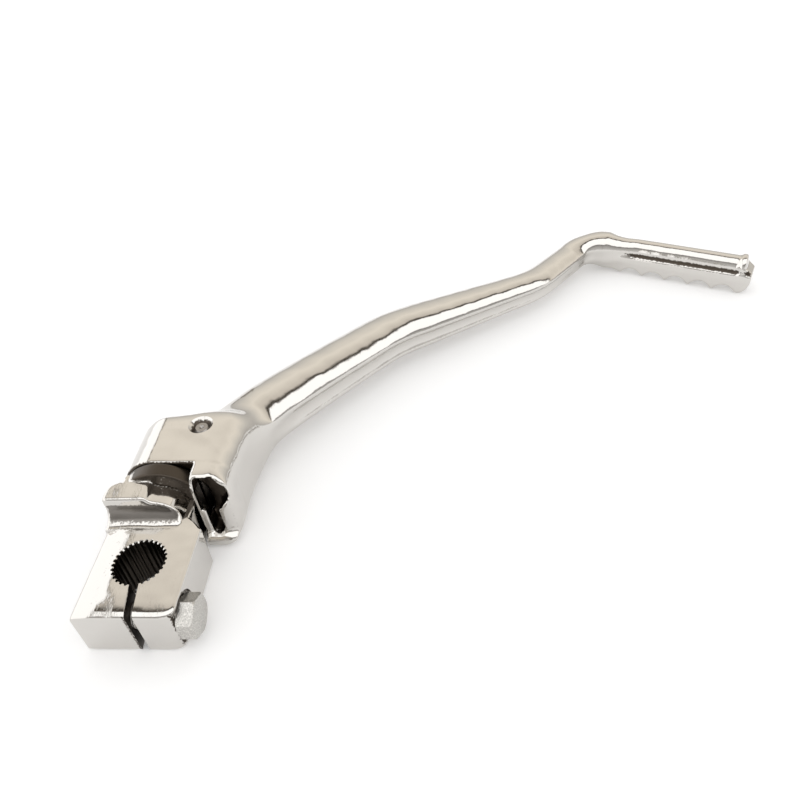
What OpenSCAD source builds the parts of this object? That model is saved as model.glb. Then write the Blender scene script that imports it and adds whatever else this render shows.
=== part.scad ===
// Kick start lever with a folding arm, in millimetres, Z up, lying folded on its inner face.
// The splined bore stands on the origin. The arm folds about an axis that runs along Y above it.

/* [Spline bore] */
// Radius at the tips of the spline teeth
spline_tip_r = 7.6; // [7.4:0.1:7.7]
// Depth of each spline groove
spline_depth = 0.65; // [0.5:0.05:0.7]
// Number of spline teeth
spline_teeth = 30; // [28:1:32]

/* [Clamp] */
// Width of the clamp
clamp_w = 31.6; // [31:0.2:32.4]
// Distance from the bore's axis to the front face
clamp_front = 19; // [18.5:0.5:20.5]
// Thickness of the clamp, which is the length of the spline bore
clamp_t = 18.2; // [17.6:0.2:18.6]
// Width of the pinch slot
slot_w = 2.4; // [1.6:0.2:3]

/* [Pinch bolt] */
// Diameter of the bolt's thread
bolt_d = 8; // [7:0.5:8]
// Width of the bolt's head across its flats
bolt_af = 12; // [11:0.5:13]
// Height of the bolt's head
bolt_head_h = 5.3; // [4.5:0.1:6]
// Length of the bolt under its head
bolt_len = 26; // [24:0.5:28]

/* [Pivot] */
// Height of the pivot axis
pivot_z = 15.4; // [15.2:0.1:15.6]
// Radius of the pivot post
post_r = 8.5; // [8.4:0.05:8.6]
// Radius of the flange in front of the head
flange_r = 14.4; // [14.1:0.1:14.5]
// Distance from the pivot axis to the face that the open arm lands on
stop_reach = 11.5; // [11.4:0.1:11.8]
// Diameter of the detent ball
ball_d = 6.35; // [6:0.05:6.35]
// Diameter of the retaining pin
pin_d = 5; // [4.8:0.1:5.2]

/* [Head] */
// Outer radius of the head around the post
head_r = 15; // [14.8:0.1:15.3]
// Height of the head's flat top
head_top = 29.8; // [29.5:0.1:30.2]
// Length of the head along the pivot
head_len = 23.9; // [23.6:0.1:25]

/* [Arm] */
// Width and height of the arm where it leaves the head
arm_root = [24, 20]; // [19:1:25]
// Width and height of the arm at its middle
arm_mid = [20, 16.5]; // [16:0.5:21]
// Width and height of the arm before the pedal
arm_end = [13.5, 11.5]; // [11:0.5:14]
// Height of the arm's centre line at the head and at the pedal
arm_z = [14.5, 8]; // [7.5:0.5:15]
// Depth of the hollow along each flank of the arm, as a share of half its width
arm_hollow = 0.2; // [0:0.05:0.25]

/* [Pedal] */
// Length of the ribbed pedal
pedal_len = 63; // [60:1:68]
// Number of scallops along its lower front edge
scallops = 5; // [4:1:6]
// Height of the pedal's rear ridge
ridge_top = 15.8; // [15:0.2:16.6]

/* [Hidden] */
$fn = 48;

// Places along the pivot axis
ramp_y = 12.5;
ridge_y = 16.9;
jaw_y = 21.5;
flange_y = [24.3, 29.5];
head_y = [29.8, 29.8 + head_len];
seal_y = 32.6;
ball_y = 38.8;
pin_y = 46.8;
post_end = 50.4;

// Clamp and its bolt
ear_x = clamp_w / 2;
neck_x = 11.2;
draft = 1.2;
edge = 2.4;
spline_root_r = spline_tip_r + spline_depth;
bolt_hole_r = bolt_d / 2 + 0.2;
bolt_y = -(spline_root_r + 0.35 + bolt_hole_r);
bolt_z = clamp_t / 2 + 0.8;
bolt_head_r = bolt_af / 2 / cos(30);
spotface_r = bolt_head_r + 0.6;
slot_turn = 8;
seat_x = ear_x - 0.9;

// Stop lug, neck and running gaps
lug_x = [-15.3, -1.4];
lug_top = pivot_z + stop_reach;
neck_r = 9.4;
ramp_r = 4.4;
stop_gap = 0.2;
running_gap = 0.08;
jaw_x = stop_reach + stop_gap;
jaw_inner_r = flange_r + 0.4;
jaw_lip = [2, 5];
pocket_depth = 6;
head_x = 24;

// Ball, spring and pin inside the post
ball_r = ball_d / 2;
ball_out = 0.8;
ball_reach = post_r + ball_out - ball_r;
detent_hole_r = ball_r + 0.075;
detent_hole_top = 5.9;
track_r = ball_r + 0.15;
seat_extra = 0.2;
spring_wire_r = 0.4;
spring_r = 2.3;
spring_turns = 6;
groove_r = post_r - 1.6;
pin_x = groove_r + 0.2 + pin_d / 2;
pin_z = [3.4, head_top - 1.2];
countersink = 1.7;
seal_r = 0.93;
seal_groove_r = post_r - 1.87;

// Arm path in plan: start, heading, then pieces of [length, turn, steps]
arm_start = [11.4, 45.6];
arm_heading = 63.2;
arm_pieces = [[6, 0, 1], [30.7, -13.7, 4], [48.3, -2.6, 3], [8.6, -15.9, 3], [59.5, 0, 3],
              [10.8, 20.8, 3], [25.8, 0, 2], [17.2, -75.5, 8], [8, 0, 1]];
arm_tip = [7, 9];

// Stations of a path: [point, heading, distance] for each step
function steps_of(pieces) = [for (p = pieces) for (k = [1:p[2]]) [p[0] / p[2], p[1] / p[2]]];
function walk(steps, p, h, d = 0, i = 0) =
    i == len(steps) ? [[p, h, d]] :
    concat([[p, h, d]], walk(steps, p + steps[i][0] * unit(h + steps[i][1] / 2), h + steps[i][1],
                             d + steps[i][0], i + 1));
function unit(h) = [cos(h), sin(h)];
function mix(a, b, t) = a + (b - a) * t;
function rounded(t, power) = sign(t) * pow(abs(t), power);

arm_stations = walk(steps_of(arm_pieces), arm_start, arm_heading);
arm_len = arm_stations[len(arm_stations) - 1][2];
pedal_start = arm_stations[len(arm_stations) - 2];

// A ring of points around a station, from a section given as [across, up] points
function ring(station, section) =
    [for (q = section) let (side = unit(station[1] + 90))
        [station[0][0] + q[0] * side[0], station[0][1] + q[0] * side[1], q[1]]];
function oval(w, h, z, n = 24) =
    [for (k = [0:n - 1]) let (a = 360 * k / n, flank = max(0, 1 - abs(sin(a)) / 0.6))
        [rounded(cos(a), 0.85) * (1 - arm_hollow * flank) * w / 2, z + rounded(sin(a), 0.85) * h / 2]];
function arm_size(t) =
    t < 0.5 ? mix(arm_root, arm_mid, t / 0.5) :
    t < 0.8 ? mix(arm_mid, arm_end, (t - 0.5) / 0.3) :
    t < 1 ? arm_end : arm_tip;

module loft(rings) {
    n = len(rings[0]);
    last = len(rings) - 1;
    points = [for (r = rings) each r];
    sides = [for (i = [0:last - 1]) for (k = [0:n - 1]) let (j = (k + 1) % n, a = i * n, b = a + n)
        each [[a + k, b + k, b + j], [a + k, b + j, a + j]]];
    front = [for (k = [0:n - 1]) k];
    back = [for (k = [n - 1:-1:0]) last * n + k];
    polyhedron(points, concat([front, back], sides));
}

// A flat [x, z] outline as a solid from y0 to y1, and a flat [y, z] outline from x0 to x1
module along_y(y0, y1) {
    translate([0, y1, 0])
        rotate([90, 0, 0])
            linear_extrude(y1 - y0)
                children();
}

module along_x(x0, x1) {
    translate([x0, 0, 0])
        rotate([90, 0, 90])
            linear_extrude(x1 - x0)
                children();
}

module cylinder_y(r, y0, y1) {
    along_y(y0, y1)
        translate([0, pivot_z])
            circle(r);
}

// Clamp seen from above: straight ears in front, a narrower neck behind
module clamp_plan() {
    corner = 3;
    translate([-ear_x, -clamp_front + corner])
        square([clamp_w, clamp_front + ramp_y - corner]);
    translate([-ear_x + corner, -clamp_front])
        square([clamp_w - 2 * corner, corner + 1]);
    for (x = [-ear_x + corner, ear_x - corner])
        translate([x, -clamp_front + corner])
            circle(corner);
    polygon([[lug_x[0], ramp_y - 1], [ear_x, ramp_y - 1], [ear_x, ramp_y], [neck_x, ridge_y],
             [neck_x, flange_y[1]], [-5, flange_y[1]], [-9, 27.5], [lug_x[0], 23]]);
}

// Clamp seen from the front: forging draft on the sides and cut bottom corners
module clamp_section() {
    polygon([[-ear_x + edge, 0], [ear_x - edge, 0], [ear_x - draft, edge / 2], [ear_x, clamp_t],
             [-ear_x, clamp_t], [-ear_x + draft, edge / 2]]);
}

// Stop lug and round neck, seen along the pivot axis
module lug_outline() {
    translate([lug_x[0], pivot_z - 5])
        square([lug_x[1] - lug_x[0], lug_top - pivot_z + 5]);
}

module neck_outline() {
    translate([0, pivot_z])
        circle(neck_r);
}

// Rounded ramp between the top of the clamp and the ridge
module ramp() {
    intersection() {
        along_x(-ear_x, ear_x)
            difference() {
                translate([ramp_y, clamp_t - 1])
                    square([ridge_y - ramp_y + 0.5, ramp_r + 1]);
                translate([ramp_y, clamp_t + ramp_r])
                    circle(ramp_r);
            }
        along_y(ramp_y - 1, ridge_y + 1)
            union() {
                lug_outline();
                neck_outline();
            }
    }
}

module stop_lug() {
    intersection() {
        along_y(ridge_y, 27.5)
            lug_outline();
        linear_extrude(lug_top)
            clamp_plan();
    }
}

module flange() {
    along_y(flange_y[0], flange_y[1])
        union() {
            intersection() {
                translate([0, pivot_z])
                    circle(flange_r);
                translate([-20, 0])
                    square([20 + neck_x, 40]);
            }
            translate([0, pivot_z - flange_r])
                square([neck_x, flange_r]);
        }
}

// Post with a groove for the dust seal, a groove for the pin and a collar behind it
module post() {
    seal = [seal_y - 1.2, seal_y + 1.2];
    groove = [pin_y - pin_d / 2 - 0.15, pin_y + pin_d / 2 + 0.15];
    translate([0, 0, pivot_z])
        rotate([-90, 0, 0])
            rotate_extrude()
                polygon([[0, flange_y[0]], [post_r, flange_y[0]], [post_r, seal[0]], [seal_groove_r, seal[0]],
                         [seal_groove_r, seal[1]], [post_r, seal[1]], [post_r, groove[0]],
                         [groove_r, groove[0]], [groove_r, groove[1]], [post_r, groove[1]],
                         [post_r, post_end - 0.5], [post_r - 0.5, post_end], [0, post_end]]);
}

module spline_bore() {
    opening = 1.0;
    root = 0.3;
    translate([0, 0, -1])
        cylinder(h = clamp_t + 2, r = spline_tip_r);
    for (k = [0:spline_teeth - 1])
        rotate([0, 0, 360 * (k + 0.5) / spline_teeth])
            translate([0, 0, -1])
                linear_extrude(clamp_t + 2)
                    polygon([[spline_tip_r - 1, -opening / 2], [spline_tip_r, -opening / 2],
                             [spline_root_r, -root / 2], [spline_root_r, root / 2],
                             [spline_tip_r, opening / 2], [spline_tip_r - 1, opening / 2]]);
}

module bolt_way() {
    translate([-ear_x - 1, bolt_y, bolt_z])
        rotate([0, 90, 0])
            cylinder(h = clamp_w + 2, r = bolt_d / 2);
    translate([0, bolt_y, bolt_z])
        rotate([0, 90, 0])
            cylinder(h = clamp_w, r = bolt_hole_r);
    translate([seat_x, bolt_y, bolt_z])
        rotate([0, 90, 0])
            cylinder(h = 5, r = spotface_r);
}

module knuckle() {
    color([0.80, 0.78, 0.74])
        difference() {
            union() {
                intersection() {
                    linear_extrude(clamp_t)
                        clamp_plan();
                    along_y(-clamp_front - 1, flange_y[1] + 1)
                        clamp_section();
                }
                ramp();
                stop_lug();
                cylinder_y(neck_r, ridge_y, flange_y[0] + 1);
                flange();
                post();
            }
            spline_bore();
            rotate([0, 0, slot_turn])
                translate([-slot_w / 2, -clamp_front - 2, -1])
                    cube([slot_w, clamp_front + 2, clamp_t + 2]);
            bolt_way();
            translate([0, ball_y, pivot_z - post_r - 1])
                cylinder(h = post_r + 1 + detent_hole_top, r = detent_hole_r);
        }
}

// Head seen along the pivot axis: round around the post, square-shouldered towards the arm
module head_outline() {
    low = 8;
    high = 5.5;
    intersection() {
        translate([0, pivot_z])
            circle(head_r);
        translate([-20, 0])
            square([40, head_top]);
    }
    square([head_x - low, head_top]);
    translate([0, low])
        square([head_x, head_top - low - high]);
    translate([0, low])
        square([head_x - high, head_top - low]);
    translate([head_x - low, low])
        circle(low);
    translate([head_x - high, head_top - high])
        circle(high);
}

// Jaw that reaches forward past the flange: its left wall is the open stop, its lower lip stands forward
module jaw() {
    difference() {
        along_y(jaw_y, head_y[0] + 1)
            intersection() {
                head_outline();
                translate([jaw_x, 0.4])
                    square([20, 40]);
            }
        cylinder_y(jaw_inner_r, flange_y[0] - 0.4, head_y[0]);
    }
    along_y(jaw_y - jaw_lip[0], jaw_y + 1)
        intersection() {
            head_outline();
            translate([jaw_x, 0.4])
                square([20, jaw_lip[1]]);
        }
}

// Recess in the jaw's front: wide above, narrow beside the rib at its lower left
module jaw_pocket() {
    wall_x = jaw_x + 1.1;
    rib_x = jaw_x + 2.5;
    right_x = head_x - 1.6;
    low_right_x = head_x - 5.6;
    roof = head_top - 1.3;
    along_y(jaw_y - jaw_lip[0] - 1, jaw_y + pocket_depth)
        polygon([[wall_x, pivot_z], [rib_x, pivot_z], [rib_x, jaw_lip[1]], [low_right_x - 1, jaw_lip[1]],
                 [low_right_x, pivot_z - 8], [low_right_x, pivot_z], [right_x, pivot_z + 5.5],
                 [right_x, roof - 4.5], [head_x - 5.4, roof], [wall_x, roof]]);
}

// Groove in the head's bore that the ball runs in, with a seat at each end
module detent_track() {
    translate([0, ball_y, pivot_z])
        rotate([90, 180, 0]) {
            rotate_extrude(angle = 90)
                translate([ball_reach, 0])
                    circle(track_r);
            for (a = [0, 90])
                rotate([0, 0, a])
                    translate([ball_reach, 0, 0])
                        sphere(track_r + seat_extra);
        }
}

module pin_hole() {
    translate([pin_x, pin_y, -1])
        cylinder(h = head_top + 2, r = pin_d / 2);
    translate([pin_x, pin_y, head_top - countersink])
        cylinder(h = countersink + 0.1, r1 = pin_d / 2, r2 = pin_d / 2 + countersink + 0.1);
}

module arm_bar() {
    loft([for (s = arm_stations) let (t = s[2] / arm_len, size = arm_size(t))
        ring(s, oval(size[0], size[1], mix(arm_z[0], arm_z[1], min(1, max(0, t / 0.85 - 0.15)))))]);
}

// Pedal section: front flange, hollow tread and round rear ridge, as [across, up] points
function pedal_section(crest) =
    [[-3, 0], [-1, 0], [-0.6, 2.6], [1.4, 3.8], [5.2, 4.8], [6.8, 7.6], [7.2, crest - 3.2],
     [6.7, crest - 1.2], [5.4, crest - 0.1], [3.8, crest - 0.4], [2.6, crest - 2], [2.2, crest - 4.2],
     [0.8, 9.2], [-0.8, 8.2], [-1.8, 9.2], [-3, 9]];

// The section pushed along the pedal, and the pedal's side outline as a solid across it
module along_pedal(from, to) {
    translate([pedal_start[0][0], pedal_start[0][1], 0])
        rotate([90, 0, pedal_start[1] + 90])
            translate([0, 0, from])
                linear_extrude(to - from)
                    children();
}

module across_pedal(reach) {
    translate([pedal_start[0][0], pedal_start[0][1], 0])
        rotate([90, 0, pedal_start[1]])
            linear_extrude(2 * reach, center = true)
                children();
}

// The lower edge rises a little towards the arm, and the scallops are cut up into it
module pedal_side() {
    pitch = 10;
    lift = 3;
    bite_r = 4.7;
    bite = 3.2;
    corner = 4;
    difference() {
        polygon([[-1, 40], [-1, lift], [0, lift], [pedal_len - corner, 0], [pedal_len, corner],
                 [pedal_len, 40]]);
        for (k = [0:scallops - 1]) {
            along = pedal_len - pitch - k * pitch;
            translate([along, lift * (1 - along / pedal_len) + bite - bite_r])
                circle(bite_r);
        }
    }
}

module pedal() {
    tip = 3;
    intersection() {
        union() {
            along_pedal(-0.5, pedal_len)
                polygon(pedal_section(ridge_top));
            along_pedal(pedal_len - tip, pedal_len)
                polygon(pedal_section(ridge_top + 1.2));
        }
        across_pedal(20)
            pedal_side();
    }
}

module lever_arm() {
    color([0.82, 0.80, 0.76])
        difference() {
            union() {
                along_y(head_y[0], head_y[1])
                    head_outline();
                jaw();
                arm_bar();
                pedal();
            }
            cylinder_y(post_r + running_gap, head_y[0] - 1, post_end + 0.3);
            jaw_pocket();
            detent_track();
            pin_hole();
        }
}

module pinch_bolt() {
    color([0.55, 0.55, 0.54])
        translate([seat_x, bolt_y, bolt_z])
            rotate([0, 90, 0]) {
                translate([0, 0, -bolt_len])
                    cylinder(h = bolt_len + 1, r = bolt_d / 2 - 0.04);
                intersection() {
                    cylinder(h = bolt_head_h, r = bolt_head_r, $fn = 6);
                    rotate_extrude()
                        polygon([[0, 0], [bolt_head_r, 0], [bolt_head_r, bolt_head_h - 0.6],
                                 [bolt_head_r - 1, bolt_head_h], [0, bolt_head_h]]);
                }
            }
}

module retaining_pin() {
    color([0.70, 0.69, 0.67])
        translate([pin_x, pin_y, pivot_z])
            rotate_extrude()
                polygon([[0, pin_z[0] - pivot_z], [pin_d / 2 - 0.4, pin_z[0] - pivot_z],
                         [pin_d / 2, pin_z[0] - pivot_z + 0.4], [pin_d / 2, pin_z[1] - pivot_z - 0.4],
                         [pin_d / 2 - 0.4, pin_z[1] - pivot_z], [0, pin_z[1] - pivot_z]]);
}

module detent_ball() {
    color([0.62, 0.62, 0.64])
        translate([0, ball_y, pivot_z - ball_reach])
            sphere(ball_r);
}

// Coil that pushes the ball out of the post
module detent_spring() {
    low = -ball_reach + sqrt(ball_r * ball_r - spring_r * spring_r) + spring_wire_r + 0.1;
    high = detent_hole_top - spring_wire_r - 0.05;
    per_turn = 12;
    coil = [for (k = [0:spring_turns * per_turn]) let (a = 360 * k / per_turn,
            z = mix(low, high, k / (spring_turns * per_turn)), out = unit(a))
        [for (m = [0:7]) let (b = 360 * m / 8, r = spring_r + spring_wire_r * cos(b))
            [r * out[0], r * out[1], z + spring_wire_r * sin(b)]]];
    color([0.45, 0.46, 0.48])
        translate([0, ball_y, pivot_z])
            loft([for (k = [len(coil) - 1:-1:0]) coil[k]]);
}

module dust_seal() {
    color([0.10, 0.10, 0.10])
        translate([0, seal_y, pivot_z])
            rotate([90, 0, 0])
                rotate_extrude()
                    translate([post_r - seal_r, 0])
                        circle(seal_r);
}

knuckle();
lever_arm();
pinch_bolt();
retaining_pin();
detent_ball();
detent_spring();
dust_seal();
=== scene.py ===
"""A kick start lever with a folding arm: a splined clamp, a chromed arm and a scalloped pedal.

Sizes are in millimetres and the meshes in metres. X runs towards the arm's side, Y along the pivot away from
the splined bore, and Z up from the floor. Each forging is modelled as a field of distances, which rounds its
edges and joins, and its drilled and broached holes are cut afterwards.
"""
import math

import bmesh
import bpy
import numpy as np
import openvdb
from mathutils import Matrix


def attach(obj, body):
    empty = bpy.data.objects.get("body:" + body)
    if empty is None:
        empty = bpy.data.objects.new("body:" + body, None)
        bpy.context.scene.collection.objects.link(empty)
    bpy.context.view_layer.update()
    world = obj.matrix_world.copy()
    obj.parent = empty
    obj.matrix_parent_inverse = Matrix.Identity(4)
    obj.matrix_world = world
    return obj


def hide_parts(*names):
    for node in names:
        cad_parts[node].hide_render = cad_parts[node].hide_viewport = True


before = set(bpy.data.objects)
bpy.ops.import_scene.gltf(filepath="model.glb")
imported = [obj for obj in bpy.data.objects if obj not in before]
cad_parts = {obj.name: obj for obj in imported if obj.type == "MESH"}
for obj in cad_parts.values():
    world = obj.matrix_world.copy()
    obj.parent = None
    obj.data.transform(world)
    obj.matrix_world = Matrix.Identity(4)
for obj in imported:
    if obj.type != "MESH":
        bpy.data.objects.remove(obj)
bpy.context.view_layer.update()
MM = 0.001
TINY = 0.01


# Lever arm. One steel forging: a thick head bored for the pivot post, a bent oval arm with a hollow along
# each flank, and a pedal with a hollow tread. It was ground by hand and chromed, so its faces ripple.
PIVOT_Z = 15.4
HEAD_R = 15.0
HEAD_Y = (29.8, 53.7)
HEAD_TOP = 29.8
HEAD_X = 24.0
HEAD_CORNERS = (8.0, 8.5)
HEAD_BACK_EDGE = 5.0
FACET_X = -5.0
FACET_SLOPE = (-0.31, 0.951)
BORE_R = 8.58
BORE_END = 50.7
BORE_EDGE = 0.5
STOP_X = 11.7
JAW_Y = 21.5
JAW_NOSE = 5.0
JAW_INNER = (14.8, 23.9)
JAW_OVERLAP = 1.0
JAW_LIP = (2.6, 5.0)
LIP_NOSE = 2.0
LIP_EDGE = 2.5
LIP_JOIN = 1.5
POCKET_END = 27.5
POCKET_WALL_X = 12.8
POCKET_RIB_X = 14.2
POCKET_ROOF = 28.5
# Walls left round the pocket, and the slopes that cut its three corners
POCKET_SKIN = 1.6
POCKET_LOW_SKIN = 5.6
POCKET_SLOPE = (0.75, 0.66)
POCKET_LOW_SLOPE = (0.9, 0.44)
POCKET_CORNERS = (5.4, 5.6, 6.6)
POCKET_CORNER_EDGE = 1.0
# Height of the arm's middle at three shares of its length
ARM_Z = (14.5, 8.8, 9.6)
ARM_Z_SHARES = (0.13, 0.9, 1)
ARM_START = (10.8, 45.9)
ARM_HEADING = 63.2
# Each piece of the arm: its length, and how many degrees it bends to the left
ARM_PIECES = ((36.7, -13.7), (43.3, -2.3), (18.6, -16.7), (52.1, 0), (15.4, 21.3), (22.8, 0), (16.6, -75.5))
ARM_LENGTH = sum(length for length, _ in ARM_PIECES)
# The oval's width and height at these shares of the arm's length, and the hollow along its flanks
ARM_SHARES = (0, 0.1, 0.3, 0.5, 0.7, 0.8, 0.9, 1)
ARM_WIDTHS = (23, 22.2, 21, 19.5, 15.3, 13.7, 13, 12.6)
ARM_HEIGHTS = (24, 20.5, 18.5, 16.6, 13.2, 12, 12, 13.6)
OVAL_POWER = 2.2
FLANK_SHARES = (0.07, 0.16, 0.85, 1)
FLANK_DEPTHS = (0, 0.18, 0.2, 0.1)
FLANK_SPAN = 0.52
FLANK_DROP = 0.6
FLANK_EDGE = 0.6
# The bar runs on a little past its last bend, tapering, and the pedal starts a little before it
BAR_TAPER = 0.6
BAR_TAIL = 16.0
HEAD_JOIN = 8.0
PEDAL_JOIN = 5.0
PEDAL_START = (5, 6)
PEDAL_LENGTH = 63.0
PEDAL_LIFT = 0.4
# The pedal's section, seen along it: across counts to the left from its middle line
FLANGE_MID = -2.2
FLANGE_HALF = 1.0
FLANGE_TOP = 9.2
UNDERSIDE = -4.0
WEB_START = 6.0
WEB_END = (4.2, 7.6)
WEB_R = 2.0
WALL_R = 3.0
RIDGE_TOP = 14.9
RIDGE_R = 4.4
RIDGE_MID = 2.6
RIDGE_EASE = (-5, 14)
RIDGE_EASE_MID = 0.6
END_LIP = (5.4, 3.0)
END_LIP_RISE = 0.8
FLOOR_EASE = (-4, 9)
FLOOR_EASE_RISE = 4.5
SCALLOP_PITCH = 10.0
SCALLOP_R = 4.7
SCALLOP_DEPTH = 2.9
SCALLOP_BACK = 0.8
SCALLOP_EDGE = 0.9
SCALLOPS = 5
END_SLANT = (0.8, 0.6)
END_SLANT_Z = 3.2
END_SLANT_EDGE = 2.5
END_LEAN = 1.2
END_LEAN_MOST = 3
END_EDGE = 1.0
# Fillets between the ridge and its wall, the web, the flange, and the lip at the end
WALL_JOIN = 1.6
WEB_JOIN = 2.4
FLANGE_JOIN = 0.6
END_LIP_JOIN = 1.4
# How widely an edge is rounded as it is forged, ground or machined
FORGED_EDGE = 0.8
GROUND_EDGE = 0.7
MACHINED_EDGE = 0.4
# The block of space that the arm is worked out in, and the spacing of its points
ARM_BLOCK = ((-16.0, 18.5, -1.0), (222.0, 192.0, 31.0))
ARM_STEP = 0.54


def axes(low, high, step):
    """The x, y and z of a block of grid points, ready to be combined."""
    lines = [np.arange(a, b, step, dtype=np.float32) for a, b in zip(low, high)]
    return np.meshgrid(*lines, indexing="ij", sparse=True)


def between(value, low, high):
    return np.maximum(low - value, value - high)


def join(a, b, reach):
    """Union of two fields with a fillet about as wide as reach."""
    near = np.maximum(reach - np.abs(a - b), 0) / reach
    return np.minimum(a, b) - near * near * reach / 4


def keep(a, b, reach):
    """What both fields hold, with its new edge rounded over about reach."""
    return -join(-a, -b, reach)


def cut(a, b, reach):
    return keep(a, -b, reach)


def capsule(u, v, start, end, radius):
    """A line from start to end with round sides, in a flat section."""
    du, dv = end[0] - start[0], end[1] - start[1]
    t = np.clip(((u - start[0]) * du + (v - start[1]) * dv) / (du * du + dv * dv), 0, 1)
    return np.hypot(u - start[0] - t * du, v - start[1] - t * dv) - radius


def surface_of(name, field, low, step):
    """A mesh object on the zero level of a field."""
    volume = openvdb.FloatGrid(background=1.0)
    volume.copyFromArray(np.ascontiguousarray(np.clip(field, -4, 4), dtype=np.float32))
    points, quads = volume.convertToQuads(isovalue=0.0)
    mesh = bpy.data.meshes.new(name)
    mesh.from_pydata((points * step + np.array(low)) * MM, [], quads[:, ::-1])
    piece = bpy.data.objects.new(name, mesh)
    bpy.context.collection.objects.link(piece)
    tidy = bmesh.new()
    tidy.from_mesh(mesh)
    if tidy.calc_volume(signed=True) < 0:
        bmesh.ops.reverse_faces(tidy, faces=tidy.faces)
    tidy.to_mesh(mesh)
    tidy.free()
    mesh.shade_smooth()
    return piece


def solid_of_rings(name, rings):
    """A closed mesh object through rings of points, with a flat cap at each end. Sizes in millimetres."""
    count = len(rings[0])
    points = [tuple(v * MM for v in point) for ring in rings for point in ring]
    faces = [tuple(range(count))[::-1], tuple(range((len(rings) - 1) * count, len(rings) * count))]
    for row in range(len(rings) - 1):
        for k in range(count):
            a, b = row * count + k, row * count + (k + 1) % count
            faces.append((a, b, b + count, a + count))
    mesh = bpy.data.meshes.new(name)
    mesh.from_pydata(points, [], faces)
    piece = bpy.data.objects.new(name, mesh)
    bpy.context.collection.objects.link(piece)
    tidy = bmesh.new()
    tidy.from_mesh(mesh)
    bmesh.ops.recalc_face_normals(tidy, faces=tidy.faces)
    tidy.to_mesh(mesh)
    tidy.free()
    return piece


def turned(name, profile, count=64, place=Matrix()):
    """A closed solid turned about its own Z axis from a list of (radius, height), then placed."""
    rings = []
    for radius, height in profile:
        ring = []
        for k in range(count):
            angle = 2 * math.pi * k / count
            ring.append((radius * math.cos(angle), radius * math.sin(angle), height))
        rings.append(ring)
    piece = solid_of_rings(name, rings)
    piece.data.transform(place)
    return piece


def drill(piece, cutter):
    """Takes the cutter's shape out of the piece and deletes the cutter."""
    bpy.context.view_layer.update()
    tool = piece.modifiers.new("hole", "BOOLEAN")
    tool.object = cutter
    tool.operation = "DIFFERENCE"
    tool.solver = "MANIFOLD"
    graph = bpy.context.evaluated_depsgraph_get()
    drilled = bpy.data.meshes.new_from_object(piece.evaluated_get(graph))
    piece.modifiers.clear()
    drilled.materials.clear()
    piece.data = drilled
    bpy.data.objects.remove(cutter)


def centre_line(start, heading, pieces, spacing=0.5):
    """Points, headings and distances along a bar of straight and bent pieces."""
    x, y = start
    angle = math.radians(heading)
    rows = [(x, y, angle, 0.0)]
    for length, turn in pieces:
        count = max(1, round(length / spacing))
        for _ in range(count):
            angle += math.radians(turn) / count / 2
            x += length / count * math.cos(angle)
            y += length / count * math.sin(angle)
            angle += math.radians(turn) / count / 2
            rows.append((x, y, angle, rows[-1][3] + length / count))
    return np.array(rows, dtype=np.float32)


def along_and_across(line, x, y):
    """Distance along a centre line and signed distance to its left, for each point of a plan grid."""
    px, py = np.broadcast_arrays(x[:, :, 0], y[:, :, 0])
    along = np.zeros(px.shape, np.float32)
    across = np.zeros(px.shape, np.float32)
    for row in range(px.shape[0]):
        gap = (px[row][:, None] - line[:, 0]) ** 2 + (py[row][:, None] - line[:, 1]) ** 2
        near = line[gap.argmin(axis=1)]
        dx = px[row] - near[:, 0]
        dy = py[row] - near[:, 1]
        along[row] = near[:, 3] + dx * np.cos(near[:, 2]) + dy * np.sin(near[:, 2])
        across[row] = dy * np.cos(near[:, 2]) - dx * np.sin(near[:, 2])
    return along[:, :, None], across[:, :, None]


def head_outline(x, z):
    """The head seen along the pivot: round with one ground facet on the left, square on the right."""
    barrel = np.hypot(x, z - PIVOT_Z) - HEAD_R
    corner = np.where(z < PIVOT_Z, *HEAD_CORNERS)
    side = np.maximum(x - HEAD_X + corner, 0)
    rise = np.maximum(np.abs(z - HEAD_TOP / 2) - HEAD_TOP / 2 + corner, 0)
    shoulder = np.maximum(np.hypot(side, rise) - corner, -x)
    outline = keep(np.minimum(barrel, shoulder), between(z, 0, HEAD_TOP), FORGED_EDGE)
    facet = FACET_SLOPE[0] * (x - FACET_X) + FACET_SLOPE[1] * (z - HEAD_TOP)
    return keep(outline, facet, FORGED_EDGE)


def pocket_outline(x, z):
    """The recess in the jaw's front, seen along the pivot: wide above, narrow beside the rib below."""
    upper, middle, lower = (x - HEAD_X + corner for corner in POCKET_CORNERS)
    across, down = POCKET_SLOPE
    wide = np.maximum(between(x, POCKET_WALL_X, HEAD_X - POCKET_SKIN), between(z, PIVOT_Z, POCKET_ROOF))
    wide = keep(wide, across * upper + down * (z - POCKET_ROOF), POCKET_CORNER_EDGE)
    wide = keep(wide, across * middle - down * (z - PIVOT_Z), POCKET_CORNER_EDGE)
    across, down = POCKET_LOW_SLOPE
    narrow = np.maximum(between(x, POCKET_RIB_X, HEAD_X - POCKET_LOW_SKIN),
                        between(z, JAW_LIP[1], PIVOT_Z + 1))
    narrow = keep(narrow, across * lower - down * (z - JAW_LIP[1]), POCKET_CORNER_EDGE)
    return np.minimum(wide, narrow)


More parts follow.
